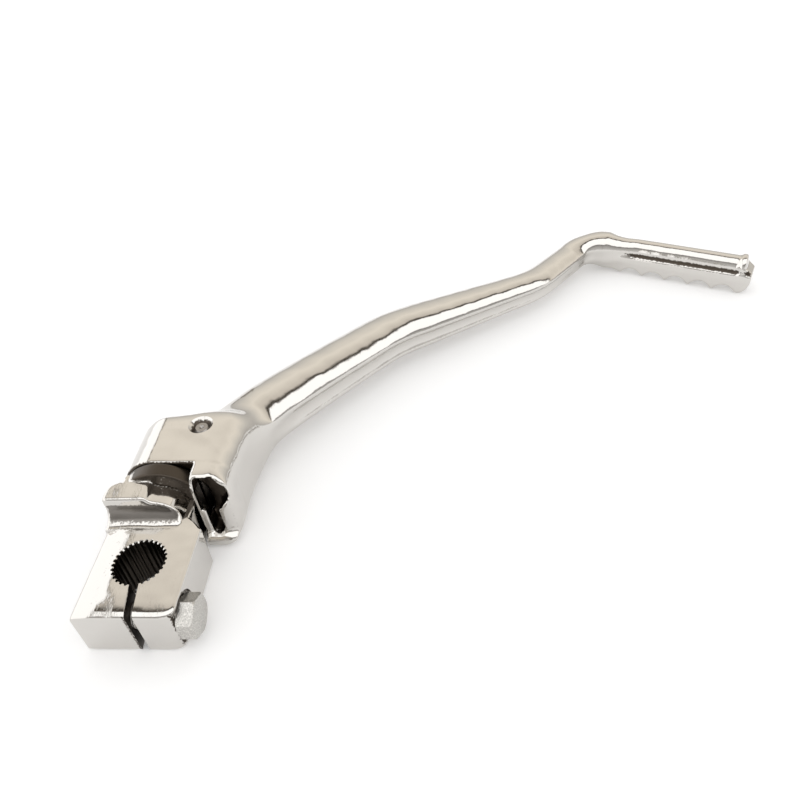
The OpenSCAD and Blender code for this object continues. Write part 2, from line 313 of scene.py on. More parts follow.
def head_field(x, y, z):
    """The block round the post, and the jaw that reaches forward on its right with a lip and a pocket."""
    outline = head_outline(x, z)
    head = keep(keep(outline, HEAD_Y[0] - y, GROUND_EDGE), y - HEAD_Y[1], HEAD_BACK_EDGE)
    from_axis = np.hypot(x, z - PIVOT_Z)
    face = keep(outline, STOP_X - x, GROUND_EDGE)
    jaw = keep(keep(outline, JAW_Y - y, JAW_NOSE), face, MACHINED_EDGE)
    lip = keep(keep(outline, JAW_Y - JAW_LIP[0] - y, LIP_NOSE), face, MACHINED_EDGE)
    lip = keep(lip, z - JAW_LIP[1], LIP_EDGE)
    jaw = np.maximum(join(jaw, lip, LIP_JOIN), y - HEAD_Y[0] - JAW_OVERLAP)
    jaw = cut(jaw, np.maximum(from_axis - JAW_INNER[0], JAW_INNER[1] - y), MACHINED_EDGE)
    pocket = np.maximum(pocket_outline(x, z), y - POCKET_END)
    return np.minimum(head, cut(jaw, pocket, FORGED_EDGE))


def oval_bar(along, across, z):
    """The arm: an oval whose size falls towards the pedal, with a shallow hollow along each flank."""
    share = along / ARM_LENGTH
    half_w = np.interp(share, ARM_SHARES, ARM_WIDTHS) / 2
    half_h = np.interp(share, ARM_SHARES, ARM_HEIGHTS) / 2
    level = z - np.interp(share, ARM_Z_SHARES, ARM_Z)
    size = np.abs(across / half_w) ** OVAL_POWER + np.abs(level / half_h) ** OVAL_POWER
    bar = (size ** (1 / OVAL_POWER) - 1) * np.minimum(half_w, half_h)
    depth = np.interp(share, FLANK_SHARES, FLANK_DEPTHS) * half_w
    radius = (half_h * FLANK_SPAN) ** 2 / (2 * depth + TINY)
    hollow = np.hypot(np.abs(across) - half_w - radius + depth, level + FLANK_DROP) - radius
    return cut(bar, hollow, FLANK_EDGE)


def pedal_field(along, across, z):
    """Front flange, hollow tread and round rear ridge; along is counted from the end of the last bend."""
    length = PEDAL_LENGTH
    flange_top = (FLANGE_MID, FLANGE_TOP - FLANGE_HALF)
    flange = capsule(across, z, (FLANGE_MID, UNDERSIDE), flange_top, FLANGE_HALF)
    web = capsule(across, z, (FLANGE_MID + FLANGE_HALF, WEB_START), WEB_END, WEB_R)
    wall = capsule(across, z, (RIDGE_MID, WEB_START), (RIDGE_MID, RIDGE_TOP - RIDGE_R), WALL_R)
    middle = np.interp(along, RIDGE_EASE, (RIDGE_EASE_MID, RIDGE_MID))
    ridge = np.hypot(across - middle, z - RIDGE_TOP + RIDGE_R) - RIDGE_R
    lip = keep(ridge - END_LIP_RISE, between(along, length - END_LIP[0], length - END_LIP[1]), FORGED_EDGE)
    shape = join(join(join(ridge, wall, WALL_JOIN), web, WEB_JOIN), flange, FLANGE_JOIN)
    floor_rise = (length - along) * PEDAL_LIFT / length + np.interp(along, FLOOR_EASE, (FLOOR_EASE_RISE, 0))
    shape = join(keep(shape, floor_rise - z, FORGED_EDGE), lip, END_LIP_JOIN)
    for k in range(SCALLOPS):
        place = length - SCALLOP_PITCH * (k + 1)
        middle = (length - place) * PEDAL_LIFT / length + SCALLOP_DEPTH - SCALLOP_R
        hollow = np.hypot(along - place, z - middle) - SCALLOP_R
        shape = cut(shape, np.maximum(hollow, across - SCALLOP_BACK), SCALLOP_EDGE)
    slant = (along - length) * END_SLANT[0] - (z - END_SLANT_Z) * END_SLANT[1]
    top_end = along - length + np.clip((z - FLANGE_TOP) * END_LEAN, 0, END_LEAN_MOST)
    shape = keep(keep(shape, top_end, END_EDGE), slant, END_SLANT_EDGE)
    return keep(shape, -along - PEDAL_START[0], PEDAL_START[1])


x, y, z = axes(*ARM_BLOCK, ARM_STEP)
line = centre_line(ARM_START, ARM_HEADING, ARM_PIECES + ((PEDAL_LENGTH, 0),))
along, across = along_and_across(line, x, y)
past_bend = along - ARM_LENGTH
bar = oval_bar(along, across, z) + BAR_TAPER * np.maximum(past_bend - 1, 0)
bar = np.maximum(bar, np.maximum(-along, past_bend - BAR_TAIL))
forging = join(bar, pedal_field(past_bend, across, z), PEDAL_JOIN)
forging = join(head_field(x, y, z), forging, HEAD_JOIN)
forging = keep(forging, between(z, 0, HEAD_TOP), FORGED_EDGE)
bore = np.maximum(np.hypot(x, z - PIVOT_Z) - BORE_R, y - BORE_END)
forging = cut(forging, bore, BORE_EDGE)
lever = surface_of("arm_forging", forging, ARM_BLOCK[0], ARM_STEP)
del x, y, z, bar, forging, bore

PIN_X = 9.6
PIN_Y = 46.8
PIN_R = 2.5
COUNTERSINK = 1.7
PIN_PLACE = Matrix.Translation((PIN_X * MM, PIN_Y * MM, 0))
ARM_CREASE = math.radians(42)
countersink_rim = (PIN_R + COUNTERSINK + 1, HEAD_TOP + 1)
pin_way = turned("pin_way", ((PIN_R, -2), (PIN_R, HEAD_TOP - COUNTERSINK), countersink_rim), place=PIN_PLACE)
drill(lever, pin_way)
lever.data.set_sharp_from_angle(angle=ARM_CREASE)


def ripple_group():
    """Waves that hand grinding leaves under chrome: long soft ones, and short ragged ones drawn out in Y."""
    group = bpy.data.node_groups.new("grinding_ripple", "ShaderNodeTree")
    for name in ("Long Wave", "Ragged Wave", "Ragged Share"):
        group.interface.new_socket(name, in_out="INPUT", socket_type="NodeSocketFloat")
    group.interface.new_socket("Height", in_out="OUTPUT", socket_type="NodeSocketFloat")
    start = group.nodes.new("NodeGroupInput")
    end = group.nodes.new("NodeGroupOutput")
    place = group.nodes.new("ShaderNodeTexCoord")
    long_wave = group.nodes.new("ShaderNodeTexNoise")
    long_wave.inputs["Detail"].default_value = 1
    group.links.new(place.outputs["Object"], long_wave.inputs["Vector"])
    group.links.new(start.outputs["Long Wave"], long_wave.inputs["Scale"])
    squeeze = group.nodes.new("ShaderNodeMapping")
    squeeze.inputs["Scale"].default_value = (1, 0.35, 1)
    group.links.new(place.outputs["Object"], squeeze.inputs["Vector"])
    ragged = group.nodes.new("ShaderNodeTexNoise")
    ragged.inputs["Detail"].default_value = 3
    ragged.inputs["Roughness"].default_value = 0.6
    group.links.new(squeeze.outputs["Vector"], ragged.inputs["Vector"])
    group.links.new(start.outputs["Ragged Wave"], ragged.inputs["Scale"])
    share = group.nodes.new("ShaderNodeMath")
    share.operation = "MULTIPLY_ADD"
    group.links.new(start.outputs["Ragged Share"], share.inputs[1])
    group.links.new(ragged.outputs["Fac"], share.inputs[0])
    group.links.new(long_wave.outputs["Fac"], share.inputs[2])
    group.links.new(share.outputs[0], end.inputs["Height"])
    return group


GRINDING_RIPPLE = ripple_group()
BORDER_RAG = 0.0014


def shade_box_group():
    """One inside a turned box with a ragged border, zero outside: the mask for painted shade and painted
    dark reflection in the chrome. In the bores and slot it also stands for bare steel that plating hardly
    reaches.
    """
    group = bpy.data.node_groups.new("recess", "ShaderNodeTree")
    for name in ("Middle", "Half Size"):
        group.interface.new_socket(name, in_out="INPUT", socket_type="NodeSocketVector")
    group.interface.new_socket("Turn", in_out="INPUT", socket_type="NodeSocketFloat")
    group.interface.new_socket("Inside", in_out="OUTPUT", socket_type="NodeSocketFloat")
    start = group.nodes.new("NodeGroupInput")
    end = group.nodes.new("NodeGroupOutput")
    place = group.nodes.new("ShaderNodeTexCoord")
    steps = []
    for operation in ("SUBTRACT", "ABSOLUTE", "SUBTRACT"):
        step = group.nodes.new("ShaderNodeVectorMath")
        step.operation = operation
        steps.append(step)
    group.links.new(place.outputs["Object"], steps[0].inputs[0])
    group.links.new(start.outputs["Middle"], steps[0].inputs[1])
    turn = group.nodes.new("ShaderNodeVectorRotate")
    turn.rotation_type = "Z_AXIS"
    group.links.new(steps[0].outputs[0], turn.inputs["Vector"])
    group.links.new(start.outputs["Turn"], turn.inputs["Angle"])
    group.links.new(turn.outputs[0], steps[1].inputs[0])
    group.links.new(steps[1].outputs[0], steps[2].inputs[0])
    group.links.new(start.outputs["Half Size"], steps[2].inputs[1])
    parts = group.nodes.new("ShaderNodeSeparateXYZ")
    group.links.new(steps[2].outputs[0], parts.inputs[0])
    first = group.nodes.new("ShaderNodeMath")
    first.operation = "MAXIMUM"
    second = group.nodes.new("ShaderNodeMath")
    second.operation = "MAXIMUM"
    group.links.new(parts.outputs["X"], first.inputs[0])
    group.links.new(parts.outputs["Y"], first.inputs[1])
    group.links.new(first.outputs[0], second.inputs[0])
    group.links.new(parts.outputs["Z"], second.inputs[1])
    inside = group.nodes.new("ShaderNodeMapRange")
    inside.inputs["From Min"].default_value = 0.0008
    inside.inputs["From Max"].default_value = 0.0005
    grain = group.nodes.new("ShaderNodeTexNoise")
    grain.inputs["Scale"].default_value = 1300
    group.links.new(place.outputs["Object"], grain.inputs["Vector"])
    ragged = group.nodes.new("ShaderNodeMath")
    ragged.operation = "MULTIPLY_ADD"
    ragged.inputs[1].default_value = BORDER_RAG
    group.links.new(grain.outputs["Fac"], ragged.inputs[0])
    group.links.new(second.outputs[0], ragged.inputs[2])
    group.links.new(ragged.outputs[0], inside.inputs["Value"])
    group.links.new(inside.outputs["Result"], end.inputs["Inside"])
    return group


SHADE_BOX = shade_box_group()
CHROME_COLOUR = (0.64, 0.62, 0.59, 1)
# Near black painted into the boxes as shade and dark reflection; in the bores and slot it also stands for
# bare steel
SHADE_AND_BARE_COLOUR = (0.075, 0.062, 0.05, 1)
# Which sockets of Blender's Mix node hold the first colour, the second and the result
MIX_FIRST = 6
MIX_SECOND = 7
MIX_RESULT = 2


def chrome(name, long_wave, ragged_wave, ragged_share, depth, shade_boxes):
    """Bright chrome over ground steel, turned near black with painted shade and dark reflection in each box,
    which in the bores and slot is also bare steel. Each box: low and high corner, turn and share.
    """
    material = bpy.data.materials.new(name)
    material.use_nodes = True
    tree = material.node_tree
    skin = tree.nodes["Principled BSDF"]
    skin.inputs["Metallic"].default_value = 1
    ripple = tree.nodes.new("ShaderNodeGroup")
    ripple.node_tree = GRINDING_RIPPLE
    ripple.inputs["Long Wave"].default_value = long_wave
    ripple.inputs["Ragged Wave"].default_value = ragged_wave
    ripple.inputs["Ragged Share"].default_value = ragged_share
    bump = tree.nodes.new("ShaderNodeBump")
    bump.inputs["Strength"].default_value = 1
    bump.inputs["Distance"].default_value = depth
    tree.links.new(ripple.outputs["Height"], bump.inputs["Height"])
    tree.links.new(bump.outputs["Normal"], skin.inputs["Normal"])
    shade_and_bare = None
    for low, high, turn, share in shade_boxes:
        box = tree.nodes.new("ShaderNodeGroup")
        box.node_tree = SHADE_BOX
        box.inputs["Middle"].default_value = [(a + b) / 2 * MM for a, b in zip(low, high)]
        box.inputs["Half Size"].default_value = [(b - a) / 2 * MM for a, b in zip(low, high)]
        box.inputs["Turn"].default_value = -turn
        weight = tree.nodes.new("ShaderNodeMath")
        weight.operation = "MULTIPLY"
        weight.inputs[1].default_value = share
        tree.links.new(box.outputs["Inside"], weight.inputs[0])
        if shade_and_bare is None:
            shade_and_bare = weight.outputs[0]
        else:
            either = tree.nodes.new("ShaderNodeMath")
            either.operation = "MAXIMUM"
            tree.links.new(shade_and_bare, either.inputs[0])
            tree.links.new(weight.outputs[0], either.inputs[1])
            shade_and_bare = either.outputs[0]
    # Inside the boxes the chrome's colour is painted near black: painted shade and dark reflection
    colour = tree.nodes.new("ShaderNodeMix")
    colour.data_type = "RGBA"
    colour.inputs[MIX_FIRST].default_value = CHROME_COLOUR
    colour.inputs[MIX_SECOND].default_value = SHADE_AND_BARE_COLOUR
    tree.links.new(shade_and_bare, colour.inputs["Factor"])
    tree.links.new(colour.outputs[MIX_RESULT], skin.inputs["Base Color"])
    sheen = tree.nodes.new("ShaderNodeMapRange")
    sheen.inputs["To Min"].default_value = 0.09
    sheen.inputs["To Max"].default_value = 0.34
    tree.links.new(shade_and_bare, sheen.inputs["Value"])
    tree.links.new(sheen.outputs["Result"], skin.inputs["Roughness"])
    return material


# The painted shadow line along the top of the pedal's flange is set out from the point where the last bend
# ends
LINE_BACK = 2.1
LINE_HALF = 0.8
LINE_REACH = (30, 31)
LINE_Z = (8.7, 10.6)
pedal_start = line[np.abs(line[:, 3] - ARM_LENGTH).argmin()]
pedal_turn = float(pedal_start[2])
edge_x = float(pedal_start[0] + PEDAL_LENGTH / 2 * math.cos(pedal_turn) + LINE_BACK * math.sin(pedal_turn))
edge_y = float(pedal_start[1] + PEDAL_LENGTH / 2 * math.sin(pedal_turn) - LINE_BACK * math.cos(pedal_turn))
PIN_HOLE_HALF = 3.2
# Painted shade and dark reflection: the jaw's pocket in two boxes, the face behind the flange, the bore
# (also bare steel), the pin's hole, and the flange's painted shadow line
ARM_SHADE_BOXES = (
    ((12.3, 22.6, 4.6), (20.5, 28.5, 27.4), 0, 1),
    ((20.3, 22.6, 6.5), (22.2, 28.5, 24.2), 0, 1),
    ((-16, 28.5, 0.5), (STOP_X - 0.1, 30.3, HEAD_TOP + 0.5), 0, 1),
    ((-9, 30, 6.5), (9, 51, 24.3), 0, 1),
    ((PIN_X - PIN_HOLE_HALF, PIN_Y - PIN_HOLE_HALF, 2),
     (PIN_X + PIN_HOLE_HALF, PIN_Y + PIN_HOLE_HALF, HEAD_TOP - 0.7), 0, 1),
    ((edge_x - LINE_REACH[0], edge_y - LINE_HALF, LINE_Z[0]),
     (edge_x + LINE_REACH[1], edge_y + LINE_HALF, LINE_Z[1]), pedal_turn, 1))
lever.data.materials.append(chrome("arm_chrome", 90, 900, 0.05, 0.0005, ARM_SHADE_BOXES))
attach(lever, "arm_side")
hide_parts("lever_arm")


# Knuckle. One steel forging: a slotted clamp with a broached bore, a ramp up to the stop lug, the flange
# that closes the head, and the post inside it. Its top was milled and its edges ground before chroming.
CLAMP_X = 15.8
CLAMP_FRONT = -19.0
CLAMP_TOP = 18.2
CLAMP_CORNER = 5.0
CLAMP_EDGE = 0.9
SIDE_EDGE = 2.0
SIDE_TRIM = 0.05
BACK_EDGE = 3.0
DRAFT_Z = (0, 1.5, CLAMP_TOP)
DRAFT = (1.4, 0.6, 0)
# The sloped top edges: their fall, and for each how far in it starts and how widely that line is rounded
SLOPE = 0.33
LEFT_SLOPE = (5.4, 1.6)
FRONT_SLOPE = (2.4, 1.0)
NECK_X = 11.2
NECK_R = 9.4
NECK_BACK = 27.5
NECK_JOIN = 3.0
RAMP_Y = 12.5
RIDGE_Y = 16.9
RAMP_R = 4.4
RAMP_EDGE = 1.1
LUG_X = (-15.7, -1.4)
LUG_Z = (8, 26.9)
LUG_BACK = 24.5
LUG_CORNER = 5.0
LUG_EDGE = 1.6
FLANGE_Y = (24.3, 29.5)
FLANGE_R = 14.4
FLANGE_EDGE = 0.6
POST_R = 8.5
POST_END = 50.4
PIN_GROOVE_DEPTH = 1.6
PIN_PLAY = 0.15
SEAL_GROOVE_DEPTH = 1.87
SEAL_GROOVE_Y = (31.4, 33.8)
KNUCKLE_BLOCK = ((-17.0, -20.5, -1.0), (17.0, 52.0, 31.0))
KNUCKLE_STEP = 0.3
FAR_INSIDE = -9

x, y, z = axes(*KNUCKLE_BLOCK, KNUCKLE_STEP)
from_axis = np.hypot(x, z - PIVOT_Z)
right = np.interp(y, (RAMP_Y, RIDGE_Y), (CLAMP_X, NECK_X))
draft = np.interp(z, DRAFT_Z, DRAFT)
clamp = keep(keep(x - right + draft, CLAMP_FRONT - y, CLAMP_CORNER), y - FLANGE_Y[1] + 1, BACK_EDGE)
clamp = keep(clamp, between(z, 0, CLAMP_TOP), CLAMP_EDGE)
clamp = keep(clamp, np.maximum(-CLAMP_X - x, CLAMP_FRONT - y), SIDE_EDGE)
clamp = keep(clamp, SLOPE * (-x - CLAMP_X + LEFT_SLOPE[0]) + z - CLAMP_TOP, LEFT_SLOPE[1])
clamp = keep(clamp, SLOPE * (-y + CLAMP_FRONT + FRONT_SLOPE[0]) + z - CLAMP_TOP, FRONT_SLOPE[1])
lug = keep(between(x, *LUG_X), between(z, *LUG_Z), LUG_EDGE)
crown = join(lug, from_axis - NECK_R, NECK_JOIN)
corner_x = np.maximum(LUG_X[0] + LUG_CORNER - x, 0)
corner_y = np.maximum(y - LUG_BACK + LUG_CORNER, 0)
rear_corner = np.hypot(corner_x, corner_y) - LUG_CORNER
rear_corner = np.where(x < LUG_X[0] + LUG_CORNER, rear_corner, FAR_INSIDE)
crown = keep(keep(crown, y - NECK_BACK, FORGED_EDGE), rear_corner, FORGED_EDGE)
front = RAMP_R - np.hypot(np.maximum(y - RAMP_Y, 0), np.maximum(CLAMP_TOP + RAMP_R - z, 0))
crown = np.maximum(keep(crown, front, RAMP_EDGE), RAMP_Y - 0.5 - y)
disc = keep(from_axis - FLANGE_R, x - NECK_X, FLANGE_EDGE)
foot = keep(between(x, 0, NECK_X), between(z, PIVOT_Z - FLANGE_R, PIVOT_Z), FLANGE_EDGE)
flange = keep(np.minimum(disc, foot), between(y, *FLANGE_Y), FLANGE_EDGE)
post = keep(from_axis - POST_R, np.maximum(FLANGE_Y[0] - y, y - POST_END), FORGED_EDGE)
pin_groove = np.maximum(POST_R - PIN_GROOVE_DEPTH - from_axis,
                        between(y, PIN_Y - PIN_R - PIN_PLAY, PIN_Y + PIN_R + PIN_PLAY))
seal_groove = np.maximum(POST_R - SEAL_GROOVE_DEPTH - from_axis, between(y, *SEAL_GROOVE_Y))
post = np.maximum(post, -np.minimum(pin_groove, seal_groove))
body = np.maximum(np.minimum(clamp, crown), SIDE_TRIM - CLAMP_X - x)
knuckle_field = np.minimum(np.minimum(body, flange), post)
knuckle = surface_of("clamp_forging", knuckle_field, KNUCKLE_BLOCK[0], KNUCKLE_STEP)
del x, y, z, clamp, crown, flange, post, body, knuckle_field

# The broached bore, the slot and the drilled holes, which widen a little at the rims
SPLINE_TIP_R = 7.6
SPLINE_DEPTH = 0.65
SPLINE_TEETH = 30
SLOT_HALF = 1.2
SLOT_TURN = math.radians(8)
BOLT_Y = -12.8
BOLT_Z = 9.9
BOLT_HOLE_R = 4.2
TAPPED_HOLE_R = 4.0
SEAT_X = 14.9
SPOTFACE_R = 7.53
BALL_Y = 38.8
BALL_HOLE_R = 3.25
BALL_HOLE_TOP = 5.9
RIM = 0.35
TOOTH_FLARE = 1.5
ROOT_FLARE = 0.2
SLOT_FLARE = 0.9
KNUCKLE_CREASE = math.radians(38)


def spline_ring(height, grow):
    """One ring of the broached bore: a tip, a flank and a root for each tooth, grown for the rim's bevel."""
    ring = []
    root_r = SPLINE_TIP_R + SPLINE_DEPTH
    for k in range(SPLINE_TEETH):
        for share, radius in ((0.0, SPLINE_TIP_R), (0.30, SPLINE_TIP_R), (0.48, root_r), (0.82, root_r)):
            angle = 2 * math.pi * (k + share) / SPLINE_TEETH
            reach = max(radius, SPLINE_TIP_R + grow * TOOTH_FLARE) + grow * ROOT_FLARE
            ring.append((reach * math.cos(angle), reach * math.sin(angle), height))
    return ring


drill(knuckle, solid_of_rings("broach", [
    spline_ring(-1, RIM + 0.6), spline_ring(RIM, 0),
    spline_ring(CLAMP_TOP - RIM, 0), spline_ring(CLAMP_TOP + 1, RIM + 0.6)]))
slot_rings = []
for height, grow in ((-1, SLOT_FLARE), (RIM, 0), (CLAMP_TOP - RIM, 0), (CLAMP_TOP + 1, SLOT_FLARE)):
    half = SLOT_HALF + grow
    slot_rings.append([(-half, -25, height), (half, -25, height), (half, 0, height), (-half, 0, height)])
slot = solid_of_rings("slot", slot_rings)
slot.data.transform(Matrix.Rotation(SLOT_TURN, 4, "Z"))
drill(knuckle, slot)
BOLT_WAY = Matrix.Translation((0, BOLT_Y * MM, BOLT_Z * MM)) @ Matrix.Rotation(math.pi / 2, 4, "Y")
bolt_profile = ((TAPPED_HOLE_R, -CLAMP_X - 2), (TAPPED_HOLE_R, 0), (BOLT_HOLE_R, TINY),
                (BOLT_HOLE_R, SEAT_X), (SPOTFACE_R, SEAT_X + TINY), (SPOTFACE_R, 19))
drill(knuckle, turned("bolt_drill", bolt_profile, 96, BOLT_WAY))
ball_profile = ((BALL_HOLE_R, -1), (BALL_HOLE_R, PIVOT_Z + BALL_HOLE_TOP))
drill(knuckle, turned("ball_drill", ball_profile, 48, Matrix.Translation((0, BALL_Y * MM, 0))))
knuckle.data.set_sharp_from_angle(angle=KNUCKLE_CREASE)

SLOT_SHADE_X = 1.4
SLOT_SHADE_HALF = 1.5
# Painted shade and dark reflection: the bore and the slot (both also bare steel), the spotface, flange and
# post, the post behind the lug, the flange above it, and the ramp at about three quarters strength
KNUCKLE_SHADE_BOXES = (
    ((-9.5, -15.5, 0.4), (9.5, 9.5, CLAMP_TOP - 0.5), 0, 1),
    ((SLOT_SHADE_X - SLOT_SHADE_HALF, -18.6, 0.4),
     (SLOT_SHADE_X + SLOT_SHADE_HALF, -6, CLAMP_TOP - 0.9), SLOT_TURN, 1),
    ((14.2, -18.3, 2), (15.1, -5.5, 17.3), 0, 1),
    ((-1.3, FLANGE_Y[0] - 0.4, 0), (16, 52, 31), 0, 1),
    ((-16, 27.7, 0), (1, 52, 31), 0, 1),
    ((-16, 23.6, 27.4), (1, 30, 31), 0, 1),
    ((-14.5, RAMP_Y + 0.6, CLAMP_TOP + 0.5), (8, 17.3, 24.2), 0, 0.76))
knuckle.data.materials.append(chrome("clamp_chrome", 110, 1000, 0.07, 0.0004, KNUCKLE_SHADE_BOXES))
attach(knuckle, "clamp_side")
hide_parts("knuckle")


# Pinch bolt. A zinc plated hex head bolt, screwed through the slot into the far ear to squeeze the bore on
# its shaft. Its head is forged with a bevelled top and a thin washer face, and its thread is rolled.
BOLT_R = 3.94
BOLT_LENGTH = 26.0
BOLT_SIDES = 72
HEX_FLAT = 5.75
HEX_HEIGHT = 5.3
THREAD_PITCH = 1.25
THREAD_STEP = THREAD_PITCH / 8
THREAD_START = -8.0
THREAD_RUN_IN = 1.5
THREAD_DEPTH = 0.62
THREAD_FLANK = 2.4
TIP_BEVEL = 0.8
BOLT_CREASE = math.radians(25)


def hex_ring(height, reach):
    """One ring of the bolt's head: a hexagon trimmed by a circle of that reach."""
    ring = []
    for k in range(BOLT_SIDES):
        degrees = 360 // BOLT_SIDES * k
        angle = math.radians(degrees)
        off_flat = math.radians(degrees % 60 - 30)
        radius = min(HEX_FLAT / math.cos(off_flat), reach)
        ring.append((radius * math.cos(angle), radius * math.sin(angle), height))
    return ring


def shank_ring(height):
    """One ring of the shank, its radius falling to the thread's root and back once a pitch."""
    ring = []
    for k in range(BOLT_SIDES):
        angle = 2 * math.pi * k / BOLT_SIDES
        turn = (height / THREAD_PITCH + k / BOLT_SIDES) % 1
        depth = THREAD_DEPTH * max(0, 1 - abs(turn - 0.5) * THREAD_FLANK)
        depth *= min(1, max(0, (THREAD_START - height) / THREAD_RUN_IN))
        ease = max(0, -BOLT_LENGTH + 1 - height) * TIP_BEVEL
        radius = BOLT_R - max(depth, ease)
        ring.append((radius * math.cos(angle), radius * math.sin(angle), height))
    return ring


# Height and reach of the washer face, of the head's lower edge, and of its sides up to the bevelled top
HEAD_RINGS = ((0.0, HEX_FLAT - 0.1), (0.35, HEX_FLAT - 0.1), (0.4, 6.6), (0.8, 7),
              (HEX_HEIGHT - 0.5, 7), (HEX_HEIGHT - 0.12, 6.1), (HEX_HEIGHT, 5.65))
thread_rings = math.ceil(BOLT_LENGTH / THREAD_STEP)
bolt_rings = [shank_ring(-BOLT_LENGTH + THREAD_STEP * k) for k in range(thread_rings)]
bolt_rings += [hex_ring(height, reach) for height, reach in HEAD_RINGS]
bolt = solid_of_rings("hex_bolt", bolt_rings)
bolt_seat = Matrix.Translation((SEAT_X * MM, BOLT_Y * MM, BOLT_Z * MM))
bolt.data.transform(bolt_seat @ Matrix.Rotation(math.pi / 2, 4, "Y"))
bolt.data.shade_smooth()
bolt.data.set_sharp_from_angle(angle=BOLT_CREASE)

zinc = bpy.data.materials.new("bolt_zinc")
zinc.use_nodes = True
tree = zinc.node_tree
skin = tree.nodes["Principled BSDF"]
skin.inputs["Metallic"].default_value = 0.9
place = tree.nodes.new("ShaderNodeTexCoord")
crystals = tree.nodes.new("ShaderNodeTexVoronoi")
crystals.inputs["Scale"].default_value = 2600
tree.links.new(place.outputs["Object"], crystals.inputs["Vector"])
tone = tree.nodes.new("ShaderNodeValToRGB")
tone.color_ramp.elements[0].color = (0.33, 0.32, 0.30, 1)
tone.color_ramp.elements[1].color = (0.72, 0.70, 0.66, 1)
tree.links.new(crystals.outputs["Distance"], tone.inputs["Fac"])
tree.links.new(tone.outputs["Color"], skin.inputs["Base Color"])
skin.inputs["Roughness"].default_value = 0.3
bump = tree.nodes.new("ShaderNodeBump")
bump.inputs["Distance"].default_value = 0.00004
tree.links.new(crystals.outputs["Distance"], bump.inputs["Height"])
tree.links.new(bump.outputs["Normal"], skin.inputs["Normal"])
bolt.data.materials.append(zinc)
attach(bolt, "clamp_side")
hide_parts("pinch_bolt")


# Retaining pin. A ground steel dowel pressed into the flat of the head, where it runs in the post's groove
# and keeps the arm on. Its end has a bevel and a small turning centre.
PIN_ENDS = (3.4, 28.6)
PIN_GAP = 0.02
PIN_BEVEL = 0.45
CENTRE_R = 0.9
CENTRE_DEPTH = 0.7
pin_profile = ((PIN_R - PIN_BEVEL, PIN_ENDS[0]), (PIN_R - PIN_GAP, PIN_ENDS[0] + PIN_BEVEL),
               (PIN_R - PIN_GAP, PIN_ENDS[1] - PIN_BEVEL), (PIN_R - PIN_BEVEL, PIN_ENDS[1]),
               (CENTRE_R, PIN_ENDS[1]), (0.15, PIN_ENDS[1] - CENTRE_DEPTH))
pin = turned("dowel_pin", pin_profile, 64, PIN_PLACE)
pin.data.shade_smooth()
pin.data.set_sharp_from_angle(angle=math.radians(25))


def turned_steel(name, tint, roughness, marks_scale):
    """Steel with the fine uneven marks of turning and grinding."""
    material = bpy.data.materials.new(name)
    material.use_nodes = True
    tree = material.node_tree
    skin = tree.nodes["Principled BSDF"]
    skin.inputs["Base Color"].default_value = tint
    skin.inputs["Metallic"].default_value = 1
    place = tree.nodes.new("ShaderNodeTexCoord")
    marks = tree.nodes.new("ShaderNodeTexNoise")
    marks.inputs["Scale"].default_value = marks_scale
    marks.inputs["Detail"].default_value = 2
    tree.links.new(place.outputs["Object"], marks.inputs["Vector"])
    spread = tree.nodes.new("ShaderNodeMapRange")
    spread.inputs["To Min"].default_value = roughness * 0.7
    spread.inputs["To Max"].default_value = roughness * 1.4
    tree.links.new(marks.outputs["Fac"], spread.inputs["Value"])
    tree.links.new(spread.outputs["Result"], skin.inputs["Roughness"])
    bump = tree.nodes.new("ShaderNodeBump")
    bump.inputs["Distance"].default_value = 0.00004
    tree.links.new(marks.outputs["Fac"], bump.inputs["Height"])
    tree.links.new(bump.outputs["Normal"], skin.inputs["Normal"])
    return material


pin.data.materials.append(turned_steel("pin_steel", (0.34, 0.32, 0.30, 1), 0.3, 900))
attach(pin, "arm_side")
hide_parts("retaining_pin")


# Detent ball and spring. A hard polished ball and a drawn wire coil in the post's cross hole, which click
# the arm open or folded. Their CAD shapes are right, so they only get their steel.
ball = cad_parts["detent_ball"]
ball.data.materials.clear()
ball.data.materials.append(turned_steel("ball_steel", (0.66, 0.66, 0.68, 1), 0.08, 300))
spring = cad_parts["detent_spring"]
spring.data.materials.clear()
spring.data.materials.append(turned_steel("spring_steel", (0.40, 0.41, 0.43, 1), 0.3, 2500))


# Dust seal. A black rubber ring in the post's first groove, lightly greased, that keeps grit out of the
# pivot. It is moulded, so it has a fine even grain.
rubber = bpy.data.materials.new("seal_rubber")
rubber.use_nodes = True
tree = rubber.node_tree
skin = tree.nodes["Principled BSDF"]
skin.inputs["Base Color"].default_value = (0.02, 0.02, 0.02, 1)
place = tree.nodes.new("ShaderNodeTexCoord")
grain = tree.nodes.new("ShaderNodeTexNoise")
grain.inputs["Scale"].default_value = 3000
tree.links.new(place.outputs["Object"], grain.inputs["Vector"])
spread = tree.nodes.new("ShaderNodeMapRange")
spread.inputs["To Min"].default_value = 0.35
spread.inputs["To Max"].default_value = 0.7
tree.links.new(grain.outputs["Fac"], spread.inputs["Value"])
tree.links.new(spread.outputs["Result"], skin.inputs["Roughness"])
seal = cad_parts["dust_seal"]
seal.data.materials.clear()
seal.data.materials.append(rubber)


